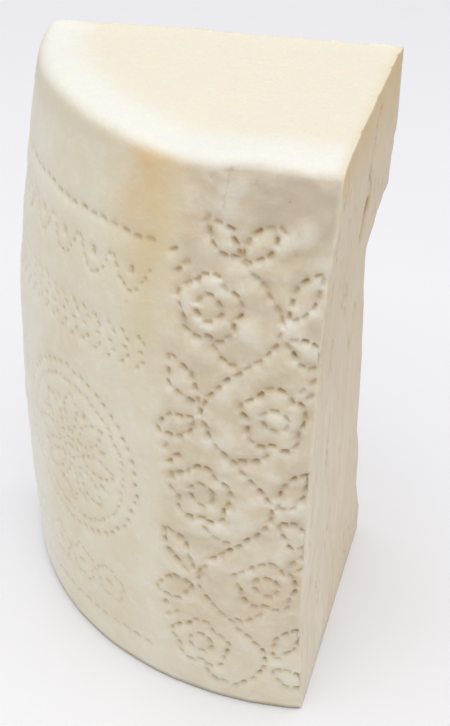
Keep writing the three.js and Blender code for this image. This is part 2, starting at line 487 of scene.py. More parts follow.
def press_mark(x, y, angle, rib, tint):
    """One mark on the drum's side, kept as its place, its direction and its sizes in metres."""
    x, y = (x, y) + chance.normal(0, MARK_JITTER, 2)
    angle += chance.normal(0, MARK_TURN)
    azimuth = math.radians(front_azimuth) + x * MM / BELLY_RADIUS
    height = y * MM
    out = np.array([math.cos(azimuth), math.sin(azimuth), 0])
    right = np.array([-math.sin(azimuth), math.cos(azimuth), 0])
    lean = float(side_radius(np.array(height + MM)) - side_radius(np.array(height - MM))) / (2 * MM)
    up = np.array([0, 0, 1]) + out * lean
    across, rise = heading(angle)
    firmness = chance.uniform(*MARK_FIRMNESS)
    marks.append(dict(
        place=settled((out * float(side_radius(np.array(height))) + (0, 0, height))[None])[0],
        along=(right * across + up * rise) / math.hypot(across, rise * math.hypot(1, lean)),
        half_length=(rib["length"] - rib["width"]) / 2 * MM,
        half_width=rib["width"] / 2 * MM * chance.uniform(*MARK_WIDTHS),
        depth=rib["depth"] * MM * firmness,
        tint=tint * firmness,
        halo=rib["halo"],
    ))


# The vine: a waving stem, with a flower in each bend, held on a curling stalk, and leaves on
# the outside of the bend. The cut has gone through its right margin.
VINE_BENDS = 5
BEND_LEAVES = ((3, 34, 27), (-5, 122, 23))
LEAF_WIDTH = 12
LEAF_FROM_STEM = 3
TIP_LEAF_ANGLES = (40, 140)
TIP_LEAF_SIZE = (24, 11)
BLOOM_AWAY = 17
BLOOM_RISE = 3
BLOOM_RADIUS = 15.5
BLOOM_HEART = 6
FLOWER_PETALS = 5
STALK = ((1, -21), (9, -24), (15, -14))
BERRIES = ((30, 21), (36, 25), (34, 17))
BERRY_TILT = 40
LIGHTER = 0.9

vine_y = np.linspace(VINE_FOOT, VINE_TOP, VINE_POINTS)
vine_turn = 2 * math.pi * (vine_y - VINE_FOOT) / VINE_WAVE
vine = np.column_stack([VINE_X + VINE_SWING * np.sin(vine_turn), vine_y])
press_line(vine, DASH, 1)
for bay in range(VINE_BENDS):
    side = 1 if bay % 2 else -1
    bend_y = VINE_FOOT + VINE_WAVE * (bay / 2 + 0.25)
    stem_x = VINE_X - side * VINE_SWING
    for foot_y, angle, length in BEND_LEAVES:
        foot = np.array([stem_x - side * LEAF_FROM_STEM, bend_y + foot_y])
        press_line(leaf(foot, 90 + side * angle, length, LEAF_WIDTH), DASH, 1)
    bloom = (VINE_X + side * BLOOM_AWAY, bend_y + BLOOM_RISE)
    press_line(flower(bloom, BLOOM_RADIUS, FLOWER_PETALS), DASH, 1)
    press_line(ring(bloom, BLOOM_HEART), DASH, LIGHTER)
    stalk = [(VINE_X + side * away, bend_y + rise) for away, rise in STALK]
    press_line(bend(*stalk), DASH, LIGHTER)
    for berry_x, berry_y in BERRIES:
        press_mark(VINE_X + side * berry_x, bend_y + berry_y, BERRY_TILT, OVAL, LIGHTER)
for angle in TIP_LEAF_ANGLES:
    press_line(leaf(vine[-1], angle, *TIP_LEAF_SIZE), DASH, 1)

# The medallion: eight petals round a small ring, inside two large ones.
MEDALLION = (-137, 122)
MEDALLION_RINGS = ((47, BEAD, 0.8), (39.5, DOT, FAINT), (6, DOT, FAINT))
PETALS = 8
PETAL_FROM = 9
PETAL_SIZE = (25, 11)
SEEDS_FROM = 27
SEED_TINT = 0.4

for ring_radius, rib, strength in MEDALLION_RINGS:
    press_line(ring(MEDALLION, ring_radius), rib, strength)
press_mark(*MEDALLION, 0, OVAL, SEED_TINT)
for petal in range(PETALS):
    angle = 360 / PETALS * petal
    press_line(leaf(MEDALLION + PETAL_FROM * heading(angle), angle, *PETAL_SIZE), DOT, FAINT)
    angle += 180 / PETALS
    press_mark(*(MEDALLION + SEEDS_FROM * heading(angle)), angle, OVAL, SEED_TINT)

# Sprigs beside the medallion, and bands above and below it: slanting dashes, scallops, beads
# and small flowers.
SPRIGS = (-198, -240)
SPRIG_ANGLES = (48, 90, 132)
SPRIG_LEAF_SIZE = (24, 9)
SPRIG_FEET = (130, 114)
RUNG_PITCH = 9.2
RUNG_LENGTH = 6
RUNGS = ((189, 196), (209, 202))
RUNG_DOT = (2.5, 199)
SCALLOPS = 7
SCALLOP = ((1, 243), (12.7, 213), (24.4, 243))
SCALLOP_HEART = (12.7, 238)
BEAD_LEVELS = (255, 20)
DAISY_PITCH = 23
DAISY_LEVEL = 48
DAISY_RADIUS = 10.5
DAISY_TINT = 0.7

for root in SPRIGS:
    for angle in SPRIG_ANGLES:
        press_line(leaf((root, SPRIG_FEET[0]), angle, *SPRIG_LEAF_SIZE), DOT, FAINT)
        press_line(leaf((root, SPRIG_FEET[1]), -angle, *SPRIG_LEAF_SIZE), DOT, FAINT)
for rung in np.arange(FIELD_LEFT + 5, FIELD_RIGHT, RUNG_PITCH):
    for start, end in RUNGS:
        press_line(np.array([(rung, start), (rung + RUNG_LENGTH, end)]), DOT, FAINT)
    press_mark(rung + RUNG_DOT[0], RUNG_DOT[1], 0, DOT, FAINT)
for scallop in np.linspace(FIELD_LEFT, FIELD_RIGHT, SCALLOPS + 1)[:-1]:
    press_line(bend(*[(scallop + x, y) for x, y in SCALLOP]), DOT, FAINT)
    press_mark(scallop + SCALLOP_HEART[0], SCALLOP_HEART[1], 90, OVAL, FAINT)
for bead in np.arange(FIELD_LEFT + 4, FIELD_RIGHT, OVAL["pitch"]):
    for level in BEAD_LEVELS:
        press_mark(bead, level, 0, OVAL, FAINT)
for daisy_x in np.arange(FIELD_LEFT + 13, FIELD_RIGHT - 5, DAISY_PITCH):
    press_line(flower((daisy_x, DAISY_LEVEL), DAISY_RADIUS, FLOWER_PETALS), DOT, DAISY_TINT)
    press_mark(daisy_x, DAISY_LEVEL, 0, OVAL, DAISY_TINT)

# Old marks of the cloth and the hand: a crease down from the rim and a few pinholes.
CREASE = dict(length=4.8, width=1.1, depth=0.5, pitch=4.4, halo=0.25)
PINHOLE = dict(length=1.0, width=0.9, depth=0.7, pitch=1, halo=0)
CREASE_LINE = np.array([(-48, 296), (-49, 287), (-50.6, 276)])
CREASE_TINT = 0.35
PINHOLES = [(-57, 290), (-36, 289), (-20, 283), (-14, 262), (-66, 246), (-97, 222), (-120, 262),
            (-171, 226), (-133, 70), (-99, 44), (-60, 70), (-8, 148), (-189, 160), (-214, 252)]
PINHOLE_TILT = 60
PINHOLE_TINT = 0.5

press_line(CREASE_LINE, CREASE, CREASE_TINT)
for x, y in PINHOLES:
    press_mark(x, y, PINHOLE_TILT, PINHOLE, PINHOLE_TINT)

# Each cut face has small eyes and torn pits in its paste, drawn out upright by the knife. On
# the front cut a crack runs down to the broken edge, where the next flake has begun to lift.
# Places on a cut are in millimetres: s from the upright edge, z up.
PITS_A_FACE = 60
PIT_LENGTH = (1, 6)
PIT_WIDTH = (0.8, 2.0)
PIT_DEPTH = (0.4, 1.2)
PIT_LEAN = 0.4
PIT_TINT = 0.3
PIT_HEIGHTS = (0.02, 0.96)
PIT_SEEDS = (5, 6)
FLAKE_CLEARANCE = 4
RIND_CLEARANCE = 6
CRACK = [(50, 291), (54, 282), (58, 273), (62.5, 266), (61, 260), (54.5, 253), (59, 247), (66, 244),
         (71, 240), (78, 237)]
CRACK_WIDTH = 2.4
CRACK_DEPTH = 2.6
CRACK_TINT = 1
SMEARS = [[(58, 252), (63, 245), (66, 238)], [(66, 249), (71, 243), (75, 235)]]
SMEAR_WIDTH = 6.5
SMEAR_DEPTH = 0.9
SMEAR_TINT = 0.56
TEARS = [(122, 288, 7), (116, 281, 5), (128, 285, 6), (101, 227, 7), (107, 225, 6), (134, 245, 8),
         (101.5, 216, 6), (79, 204, 6), (85, 188, 8), (96, 270, 11), (110, 264, 9), (126, 212, 13),
         (119, 152, 15), (132, 266, 12), (90, 128, 8), (104, 96, 12), (122, 70, 10), (88, 62, 8)]
TEAR_WIDTH = 2.0
TEAR_DEPTH = 1.3
TEAR_TINT = 0.6
LINK = 2.6
LINK_WANDER = 0.8
LINK_FIRMNESS = (0.5, 1.1)
LINK_WIDTHS = (0.5, 1.3)


def open_cut(cut, start, end, width, depth, tint):
    """A groove in a cut face between two places on it."""
    ends = [np.array([*(UPRIGHT_EDGE + cut * s * MM), z * MM]) for s, z in (start, end)]
    run = ends[1] - ends[0]
    length = np.linalg.norm(run)
    marks.append(dict(
        place=(ends[0] + ends[1]) / 2, along=run / length, half_length=length / 2,
        half_width=width / 2 * MM, depth=depth * MM, tint=tint, halo=0,
    ))


def open_pits(cut, seed):
    """Scatters pits over a cut face, clear of the flake."""
    draw = np.random.default_rng(seed)
    left = PITS_A_FACE
    while left:
        z = draw.uniform(*PIT_HEIGHTS) * DRUM_HEIGHT / MM
        far = float(cut_reach(cut, side_radius(np.array(z * MM)))) / MM
        s = draw.uniform(0, 1) * far
        length, width, depth = [draw.uniform(*span) for span in (PIT_LENGTH, PIT_WIDTH, PIT_DEPTH)]
        lean = draw.normal(0, PIT_LEAN) * length
        near = float(flake_reach(np.array(z * MM))) / MM
        if near + FLAKE_CLEARANCE < s < far - RIND_CLEARANCE:
            open_cut(cut, (s, z), (s + lean, z + length), width, depth, PIT_TINT)
            left -= 1


def tear_open(line, width, depth, tint):
    """A ragged tear along a line of places on the front cut, in short uneven links."""
    run = np.concatenate([[0], np.cumsum(np.hypot(*np.diff(line, axis=0).T))])
    stops = np.arange(0, run[-1] + LINK / 2, LINK)
    path = np.column_stack([np.interp(stops, run, side) for side in np.transpose(line)])
    path = path + chance.normal(0, LINK_WANDER, path.shape)
    for start, end in zip(path, path[1:]):
        firmness = chance.uniform(*LINK_FIRMNESS)
        link_width = width * chance.uniform(*LINK_WIDTHS)
        open_cut(front_cut, start, end, link_width, depth * firmness, tint * firmness)


tear_open(CRACK, CRACK_WIDTH, CRACK_DEPTH, CRACK_TINT)
for smear in SMEARS:
    tear_open(smear, SMEAR_WIDTH, SMEAR_DEPTH, SMEAR_TINT)
for s, z, length in TEARS:
    tear_open([(s, z), (s, z - length)], TEAR_WIDTH, TEAR_DEPTH, TEAR_TINT)
for cut, seed in zip((front_cut, back_cut), PIT_SEEDS):
    open_pits(cut, seed)

# ------------------------------------------------------------------------------------------
# Relief of the whole surface. Faces near the marks are divided until a mark has shape, then
# every point is moved along its own normal: pressed in by marks, and lifted or sunk by the
# rind's cloth-pressed unevenness, the knife's drag, and crumbled edges.
# ------------------------------------------------------------------------------------------
DIVIDE_NEAR = 1.0 * MM
DIVISIONS = 2
MARK_WALL = 0.6 * MM
HALO_WIDTH = 4.2 * MM
HALO_DEPTH = 1.35 * MM
EDGE_FADE = (0.3 * MM, 1.6 * MM)
MARK_SHADE = (-1.0 * MM, 0.7 * MM)
SHADE_RISE = 0.5
FULL_PRESS = 1.5 * MM
SHADE_ABOVE_MARK = (0, 0.7)
HIGHLIGHT_BELOW_MARK = (0.1, 0.8)
BROKEN_BELOW = 1.5 * MM
TOP_FACING = (0.3, 0.99)


def depths_inside(points):
    """How deep each point lies under the skin, the front cut and the back cut."""
    radius = np.hypot(points[:, 0], points[:, 1])
    level = points[:, 2] + rim_drop(points)
    skin = np.minimum(side_radius(level) - radius, top_height(radius) - level)
    past_rim = np.clip([radius - rim_centre, level - rim_height + RIM_ROUNDING], 0, None)
    in_rounding = np.min(past_rim, axis=0) > 0
    skin = np.where(in_rounding, np.minimum(skin, RIM_ROUNDING - np.hypot(*past_rim)), skin)
    from_edge = points[:, :2] - UPRIGHT_EDGE
    front = from_edge @ np.array([front_cut[1], -front_cut[0]])
    back = from_edge @ np.array([-back_cut[1], back_cut[0]])
    return np.column_stack([skin, front, back])


def mark_gap(points, mark):
    """How far points are outside a mark's outline."""
    offset = points - mark["place"]
    along = np.clip(offset @ mark["along"], -mark["half_length"], mark["half_length"])
    return np.linalg.norm(offset - np.outer(along, mark["along"]), axis=1) - mark["half_width"]


def near_marks(points, margin):
    """For each mark, the points within a margin of it and their gaps to it."""
    by_height = np.argsort(points[:, 2])
    heights = points[by_height, 2]
    for mark in marks:
        span = mark["half_length"] + mark["half_width"] + margin
        level = mark["place"][2]
        first, last = np.searchsorted(heights, (level - span, level + span))
        near = by_height[first:last]
        gap = mark_gap(points[near], mark)
        yield mark, near[gap < margin], gap[gap < margin]


def face_centres(piece):
    centres = np.empty(len(piece.data.polygons) * 3, np.float32)
    piece.data.polygons.foreach_get("center", centres)
    return centres.reshape(-1, 3).astype(float)


centres = face_centres(cheese)
busy = np.zeros(len(centres), bool)
for mark, near, gap in near_marks(centres, DIVIDE_NEAR):
    busy[near] = True
edit(cheese, "FACE")
bpy.ops.object.mode_set(mode="OBJECT")
cheese.data.polygons.foreach_set("select", busy)
bpy.ops.object.mode_set(mode="EDIT")
bpy.ops.mesh.subdivide(number_cuts=DIVISIONS)
bpy.ops.object.mode_set(mode="OBJECT")

points = points_of(cheese)
inside = depths_inside(points)
edge_gap = np.sort(inside, axis=1)[:, 1]
azimuth = np.degrees(np.arctan2(points[:, 1], points[:, 0]))
azimuth = np.where(azimuth > 0, azimuth - 360, azimuth)
across = np.radians(azimuth - front_azimuth) * BELLY_RADIUS / MM
height = points[:, 2] / MM
nearest = np.argmin(inside, axis=1)
broken = np.min(inside, axis=1) > BROKEN_BELOW
on_skin = (nearest == 0) & ~broken
on_cut = (nearest != 0) & ~broken
normals = np.empty(len(points) * 3, np.float32)
cheese.data.vertices.foreach_get("normal", normals)
normals = normals.reshape(-1, 3)
from_rim = (rim_centre - np.hypot(points[:, 0], points[:, 1])) / MM
up_rounding = points[:, 2] + rim_drop(points) - rim_height + RIM_ROUNDING
facing_up = np.sin(np.arctan2(up_rounding, np.clip(-from_rim, 0, None) * MM))
top_share = smoothstep(facing_up, *TOP_FACING) * on_skin

# Marks: how deep each point is pressed, and how much colour the mark keeps: whey tan, and painted shade.
pressed = np.zeros(len(points))
sunk = np.zeros(len(points))
tint = np.zeros(len(points))
shadow = np.zeros(len(points))
mark_highlight = np.zeros(len(points))
for mark, near, gap in near_marks(points, HALO_WIDTH):
    # The rib drew downwards out of the curd, so the lower wall of a mark slopes more gently.
    lower = np.clip((mark["place"][2] - points[near, 2]) / mark["half_width"], 0, 1)
    share = 1 - smoothstep(gap, -MARK_WALL, MARK_WALL * (1 + lower))
    pressed[near] = np.maximum(pressed[near], share * mark["depth"])
    # Painted shade: the mark's colour is kept off its lower wall, which faces the light, so it lies on the
    # floor and the top wall.
    shade = 1 - smoothstep(gap + lower * SHADE_RISE * MM, *MARK_SHADE)
    tint[near] = np.maximum(tint[near], shade * mark["tint"])
    halo = (1 - smoothstep(gap, -MARK_WALL, HALO_WIDTH)) * mark["halo"]
    sunk[near] = np.maximum(sunk[near], halo * HALO_DEPTH)
    # Painted shade above each mark and a painted highlight on the lip below it, as light from above would
    # fall on the pressed rind.
    rise = (points[near, 2] - mark["place"][2]) / HALO_WIDTH
    shadow[near] = np.maximum(shadow[near], halo * smoothstep(rise, *SHADE_ABOVE_MARK))
    mark_highlight[near] = np.maximum(mark_highlight[near], halo * smoothstep(-rise, *HIGHLIGHT_BELOW_MARK))
away = smoothstep(edge_gap, *EDGE_FADE)
pressed = pressed * away
tint = tint * away

# The rind's unevenness: broad swells, and a pillowed stretch to the right of an old seam.
SEAM = (-80, -66)
FIRM_HEIGHTS = (40, 130)
EDGE_CALM = 9 * MM
PILLOW_SIZE = (15 * MM, 15 * MM, 10 * MM)
PILLOW_SWING = 2.3 * MM
CALM_FOOT = 0.3
WRINKLE_SIZE = (17 * MM, 17 * MM, 3.2 * MM)
WRINKLE_SWING = 0.35 * MM
WRINKLED_ABOVE = (262, 276)
WRINKLED_RIGHT_OF = (-62, -48)
SWELL_SIZE = 62 * MM
SWELL_SWING = 0.7 * MM
SKIN_GRAIN_SIZE = 4.5 * MM
SKIN_GRAIN_SWING = 0.1 * MM

pillowed = smoothstep(across, *SEAM) * on_skin * (1 - top_share)
pillowed = pillowed * (CALM_FOOT + (1 - CALM_FOOT) * smoothstep(height, *FIRM_HEIGHTS))
lift = lumps(points, SWELL_SIZE, 2, (2, 5, 8)) * SWELL_SWING
calm = smoothstep(edge_gap, 0, EDGE_CALM)
pillow = lumps(points, PILLOW_SIZE, 2, (4, 4, 1))
lift += pillow * PILLOW_SWING * (0.15 + 0.85 * pillowed * calm) * on_skin
lift += lumps(points, SKIN_GRAIN_SIZE, 2, (6, 3, 3)) * SKIN_GRAIN_SWING * (1 + pillowed) * on_skin
under_rim = smoothstep(height, *WRINKLED_ABOVE) * smoothstep(across, *WRINKLED_RIGHT_OF)
under_rim = under_rim * (1 - top_share) * on_skin
lift += lumps(points, WRINKLE_SIZE, 2, (3, 6, 1)) * WRINKLE_SWING * under_rim

# The cut faces: shallow upright drags of the knife. The broken paste: crumbly grain.
DRAG_SIZE = (7 * MM, 7 * MM, 70 * MM)
DRAG_SWING = 0.22 * MM
CRUMB_WAVES = [(7 * MM, 0.7 * MM), (2.8 * MM, 0.25 * MM)]

lift += lumps(points, DRAG_SIZE, 2, (1, 8, 5)) * DRAG_SWING * on_cut
for size, swing in CRUMB_WAVES:
    ridges = 1 - 3 * np.abs(lumps(points, size, 2, (5, 2, 9)))
    lift += ridges * swing * broken

# Crumbled edges: small bites out of every edge, but along the top of the back cut the knife
# left whitish crumbs standing up instead.
CHIP_SIZE = 5.5 * MM
CHIP_REACH = 3.5 * MM
CHIP_DEPTH = 0.8 * MM
CHIP_SPAN = (0.12, 0.55)
CRUMB_HEIGHT = 0.6 * MM
CRUMB_REACH = 6 * MM
CRUMBS_ABOVE = 285
back_top = (inside[:, 2] < CRUMB_REACH) & (height > CRUMBS_ABOVE)
crumble = smoothstep(lumps(points, CHIP_SIZE, 2, (7, 7, 2)), *CHIP_SPAN)
crumble = crumble * (1 - smoothstep(edge_gap, 0, CHIP_REACH)) * (height > 2)
lift += crumble * np.where(back_top, CRUMB_HEIGHT, -CHIP_DEPTH)
crumb_white = crumble * back_top

# The knife left a burr standing along the top of the back cut and beside the upright edge.
BURR_HEIGHT = 1.3 * MM
BURR_REACH = 11 * MM
BURR_HEIGHTS = (289, 299)
FLARED_FROM = (232, 268)
FOOT_CALM = 4
burr = (1 - smoothstep(inside[:, 2], 0, BURR_REACH)) * smoothstep(height, *BURR_HEIGHTS)
from_upright = np.hypot(*(points[:, :2] - UPRIGHT_EDGE).T) / MM
flare = (1 - smoothstep(from_upright * MM, 0, BURR_REACH)) * smoothstep(height, *FLARED_FROM)

standing = smoothstep(height, 0, FOOT_CALM)
moved = points + normals * ((lift - sunk - pressed) * standing)[:, None]

# The front cut bows inwards behind its rind, because the knife followed the softer core.
BOW_DEPTH = 2.1 * MM
BOW_REACH = 55 * MM
BOW_RIND = 16 * MM
BOW_BEGINS = (8, 75)
BOW_ENDS = (235, 292)
from_corner = cut_reach(front_cut, side_radius(points[:, 2])) - (points[:, :2] - UPRIGHT_EDGE) @ front_cut
bow = smoothstep(height, *BOW_BEGINS) * (1 - smoothstep(height, *BOW_ENDS))
bow = bow * np.exp(-np.clip(from_corner, 0, None) / BOW_REACH)
bow = bow * (1 - smoothstep(inside[:, 1], 0, BOW_RIND))
moved += np.outer(bow * BOW_DEPTH, (front_cut[1], -front_cut[0], 0))
moved += np.outer(burr * BURR_HEIGHT, (0, 0, 1)) + np.outer(flare * BURR_HEIGHT, (1, 0, 0))
place(cheese, moved)

# What the finishes need to know at each point, as shares from 0 to 1.
STAIN_X = -92
STAIN_HALF = 19
STAIN_HEIGHTS = (200, 296)
STAIN_GATHERING = 1.3
STREAK_X = -86
STREAK_HALF = 12
STREAK_HEIGHTS = (150, 262)
SHADE_BY_CUT = (-16, -1)
SHADE_FROM_HEIGHTS = (20, 70)
SHADE_UNDER_RIM = (276, 292)
SHADED_HOLLOWS = (0, 0.45)
CONTACT_SHADOW_HEIGHTS = (0.6, 3.4)
EDGE_HIGHLIGHT_REACH = (0.4 * MM, 2.4 * MM)

stain = np.exp(-(((across - STAIN_X) / STAIN_HALF) ** 2))
stain = stain * smoothstep(height, *STAIN_HEIGHTS) ** STAIN_GATHERING
stain = stain * (1 - top_share) * on_skin
streak = np.exp(-(((across - STREAK_X) / STREAK_HALF) ** 2)) * smoothstep(height, *STREAK_HEIGHTS)
streak = streak * (1 - top_share) * on_skin
# Painted shade: darker under the rim and in the wrinkles below it at the right, beside the front cut where
# the rind turns from the light, in the pillows' hollows and above the marks.
painted_shade = 0.5 * under_rim + 0.35 * smoothstep(across, *SHADE_BY_CUT) * on_skin * (1 - top_share)
painted_shade = painted_shade * smoothstep(height, *SHADE_FROM_HEIGHTS)
painted_shade = painted_shade + 0.3 * smoothstep(height, *SHADE_UNDER_RIM) * on_skin * (1 - top_share)
painted_shade = painted_shade + 0.35 * smoothstep(-pillow, *SHADED_HOLLOWS) * pillowed
firm_high = 0.35 + 0.65 * smoothstep(height, *FIRM_HEIGHTS)
painted_shade = np.clip(painted_shade + 0.5 * shadow * firm_high * (1 - pressed / FULL_PRESS), 0, 1)
# Painted contact shadow: a dark line along the foot where it meets the table.
contact_shadow = (1 - smoothstep(height, *CONTACT_SHADOW_HEIGHTS)) * on_skin
# Painted highlight along the worn edges.
arris = (1 - smoothstep(edge_gap, *EDGE_HIGHLIGHT_REACH)) * ~broken

# The top is whitest along its rim, with painted highlights on the pillows and below the marks; the paste is
# yellowest under the top and warm at its core, and painted shade darkens it towards the top.
WHITE_RIM = (4, 26)
HIGHLIGHT_ON_PILLOWS = (0.1, 0.5)
YELLOW_BY_CUT = 5 * MM
YELLOW_UNDER_TOP = (6, 24)
WARM_CORE = (70, 120)
CORE_FADES = (150, 240)
SHADED_HEIGHTS = (90, 250)
ROSY_HEIGHTS = (15, 75)
PALE_LEFT = (135, 205)
PALE_HEIGHTS = (120, 200)
PALE_FOOT = (8, 70)

white = (1 - smoothstep(from_rim, *WHITE_RIM)) * top_share
# Painted highlight on the pillows' crests and on the lips below the marks.
white = white + 0.35 * smoothstep(pillow, *HIGHLIGHT_ON_PILLOWS) * pillowed
white = np.clip(white + crumb_white + 0.6 * mark_highlight * firm_high * (shadow < 0.5), 0, 1)
near_cut = (1 - smoothstep(inside[:, 1], 0, YELLOW_BY_CUT)) * top_share
under_top = (1 - smoothstep((DRUM_HEIGHT - points[:, 2]) / MM, *YELLOW_UNDER_TOP)) * on_cut
core = (1 - smoothstep(from_upright, *WARM_CORE)) * (1 - 0.6 * smoothstep(height, *CORE_FADES))
# Painted shade: the cut faces are painted darker towards the top.
shaded_upper = smoothstep(height, *SHADED_HEIGHTS)


def remember(name, shares):
    attribute = cheese.data.attributes.new(name, "FLOAT", "POINT")
    attribute.data.foreach_set("value", shares.astype(np.float32))


remember("mark", tint)
remember("stain", stain)
remember("streak", streak)
remember("painted_shade", painted_shade)
remember("contact_shadow", contact_shadow)
remember("shaded_upper", shaded_upper)
remember("near_cut", near_cut)
remember("arris", arris)
remember("top", top_share)
remember("rosy", smoothstep(across, *SEAM) * smoothstep(height, *ROSY_HEIGHTS) * on_skin)
remember("white", white)
remember("under_top", under_top)
remember("core", core)
# Painted light: the left of the rind, which faces the light, and the foot, lit from the table, are painted
# paler.
pale = smoothstep(-across, *PALE_LEFT) * (0.45 + 0.4 * (1 - smoothstep(height, *PALE_HEIGHTS)))
pale = pale + 0.1 * (1 - smoothstep(height, *PALE_FOOT))
remember("pale", np.clip(pale, 0, 1) * on_skin)

# Thin the faces out where nothing fine happens, well away from marks and edges.
QUIET_GAP = 4 * MM
SKIN_LAYER = 3 * MM
CUT_KEPT = 0.22
TOP_KEPT = 0.25
RIND_KEPT = 0.5
SIDE_THINNED = (9 * MM, 278 * MM)


def thin_out(chosen, kept):
    edit(cheese, "FACE")
    bpy.ops.object.mode_set(mode="OBJECT")
    cheese.data.polygons.foreach_set("select", chosen)
    bpy.ops.object.mode_set(mode="EDIT")
    bpy.ops.mesh.decimate(ratio=kept)
    bpy.ops.object.mode_set(mode="OBJECT")


def quiet_faces(side):
    """Faces of the skin, the front cut or the back cut that are far from marks and edges."""
    spots = face_centres(cheese)
    gaps = depths_inside(spots)
    chosen = (np.argmin(gaps, axis=1) == side) & (np.sort(gaps, axis=1)[:, 1] > QUIET_GAP)
    chosen &= (np.min(gaps, axis=1) < SKIN_LAYER) & (spots[:, 2] > FLAT_FOOT)
    for _, near, _ in near_marks(spots, DIVIDE_NEAR + CELL):
        chosen[near] = False
    return chosen


for side in (1, 2):
    thin_out(quiet_faces(side), CUT_KEPT)
spots = face_centres(cheese)
on_top = np.hypot(spots[:, 0], spots[:, 1]) < rim_centre - QUIET_GAP
thin_out(quiet_faces(0) & on_top, TOP_KEPT)
face_height = face_centres(cheese)[:, 2]
on_side = (face_height > SIDE_THINNED[0]) & (face_height < SIDE_THINNED[1])
thin_out(quiet_faces(0) & on_side, RIND_KEPT)

# Thinning folds a few faces onto one another. They are cut out and filled again.
MENDINGS = 3

edit(cheese, "VERT")
for _ in range(MENDINGS):
    bpy.ops.mesh.select_all(action="DESELECT")
    bpy.ops.mesh.select_non_manifold()
    bpy.ops.mesh.delete(type="VERT")
    bpy.ops.mesh.select_all(action="SELECT")
    bpy.ops.mesh.delete_loose()
    bpy.ops.mesh.select_all(action="SELECT")
    bpy.ops.mesh.fill_holes(sides=0)
bpy.ops.mesh.normals_make_consistent(inside=False)
bpy.ops.object.mode_set(mode="OBJECT")

cheese.data.shade_smooth()
place(cheese, points_of(cheese) + (*axis, 0))

# ------------------------------------------------------------------------------------------
# Finishes. The outside is brined, dry-salted sheep's milk rind: ivory, matt, faintly mottled,
# with whey gone tan in the marks and below the rim, and painted shade, painted highlights,
# painted light and a painted contact shadow in its colour. The cut paste is denser and a little
# straw-coloured, with the knife's upright drag in it and painted shade towards its top and in its
# grooves; the broken paste is pale and granular.
# ------------------------------------------------------------------------------------------
def linear(hex_colour):
    channels = [int(hex_colour[at:at + 2], 16) / 255 for at in (1, 3, 5)]
    return (*[c / 12.92 if c <= 0.04045 else ((c + 0.055) / 1.055) ** 2.4 for c in channels], 1)


def add(material, kind, inputs, **settings):
    """Adds a node with its settings; an input is a value or another node's output."""
    made = material.node_tree.nodes.new("ShaderNode" + kind)
    for name, value in settings.items():
        setattr(made, name, value)
    for name, value in inputs.items():
        if isinstance(value, bpy.types.NodeSocket):
            material.node_tree.links.new(value, made.inputs[name])
        else:
            made.inputs[name].default_value = value
    return made


def pattern(material, size, stretch=(1, 1, 1), detail=3.0, shift=(0, 0, 0)):
    """Soft noise whose lumps are about one size across, in metres, stretched along an axis."""
    place_on_piece = add(material, "TexCoord", {}).outputs["Object"]
    scale = [1 / (size * part) for part in stretch]
    mapping = add(material, "Mapping", {"Vector": place_on_piece, "Location": shift, "Scale": scale})
    return add(material, "TexNoise", {
        "Vector": mapping.outputs["Vector"], "Scale": 1.0, "Detail": detail, "Roughness": 0.55,
    }).outputs["Fac"]


def share(material, value, low, high):
    return add(material, "MapRange", {
        "Value": value, "From Min": low, "From Max": high, "To Min": 0.0, "To Max": 1.0,
    }).outputs["Result"]


def kept(material, name):
    return add(material, "Attribute", {}, attribute_name=name).outputs["Fac"]


def times(material, value, factor):
    return add(material, "Math", {0: value, 1: factor}, operation="MULTIPLY").outputs[0]


def tinted(material, below, above, factor):
    """One colour laid over another by a factor."""
    return add(material, "Mix", {0: factor, 6: below, 7: above}, data_type="RGBA").outputs[2]


def bumped(material, height, depth, under=None):
    inputs = {"Height": height, "Distance": depth, "Strength": 1.0}
    if under is not None:
        inputs["Normal"] = under
    return add(material, "Bump", inputs).outputs["Normal"]


def finish(material, colour, roughness, normal):
    """Milk fat and protein scatter light just under the surface, so edges glow a little."""
    shader = material.node_tree.nodes["Principled BSDF"]
    material.node_tree.links.new(colour, shader.inputs["Base Color"])
    material.node_tree.links.new(roughness, shader.inputs["Roughness"])
    material.node_tree.links.new(normal, shader.inputs["Normal"])
    shader.inputs["IOR"].default_value = 1.45
    shader.inputs["Specular IOR Level"].default_value = 0.35
    shader.inputs["Subsurface Weight"].default_value = 0.3
    shader.inputs["Subsurface Radius"].default_value = (1.0, 0.62, 0.36)
    shader.inputs["Subsurface Scale"].default_value = 0.0022


RIND_IVORY = linear("#ece6d1")
RIND_WARM = linear("#e7dbc0")
RIND_ROSY = linear("#ddccad")
# Salt white, which also serves for painted highlights and painted light.
SALT_AND_PAINTED_LIGHT_WHITE = linear("#f5f2e9")
RIND_TOP = linear("#f1e9d6")
RIND_YELLOW = linear("#e8d9b6")
# Grey-beige of the painted shade on the rind, and of the knife's drag streaks in the paste.
SHADE_AND_DRAG_GREY = linear("#d3c4ad")
WHEY_TAN = linear("#bd9c62")
WHEY_AND_SHADE_DEEP = linear("#8c7448")
CRACK_SHADE_OLIVE = linear("#76663f")
CONTACT_SHADOW_OLIVE = linear("#8d8468")
STAIN_TAN = linear("#e2bf8c")
STREAK_OLIVE = linear("#dfcd9f")
PASTE_CREAM = linear("#f2e8d5")
PASTE_STRAW = linear("#e6d6bb")
PASTE_SHADE_AND_BAND = linear("#d8c4a3")
PASTE_ROSY = linear("#e8d2b4")
PASTE_YELLOW = linear("#dcbd86")
BREAK_PALE = linear("#f2e6cf")
BREAK_DEEP = linear("#e6d2b0")


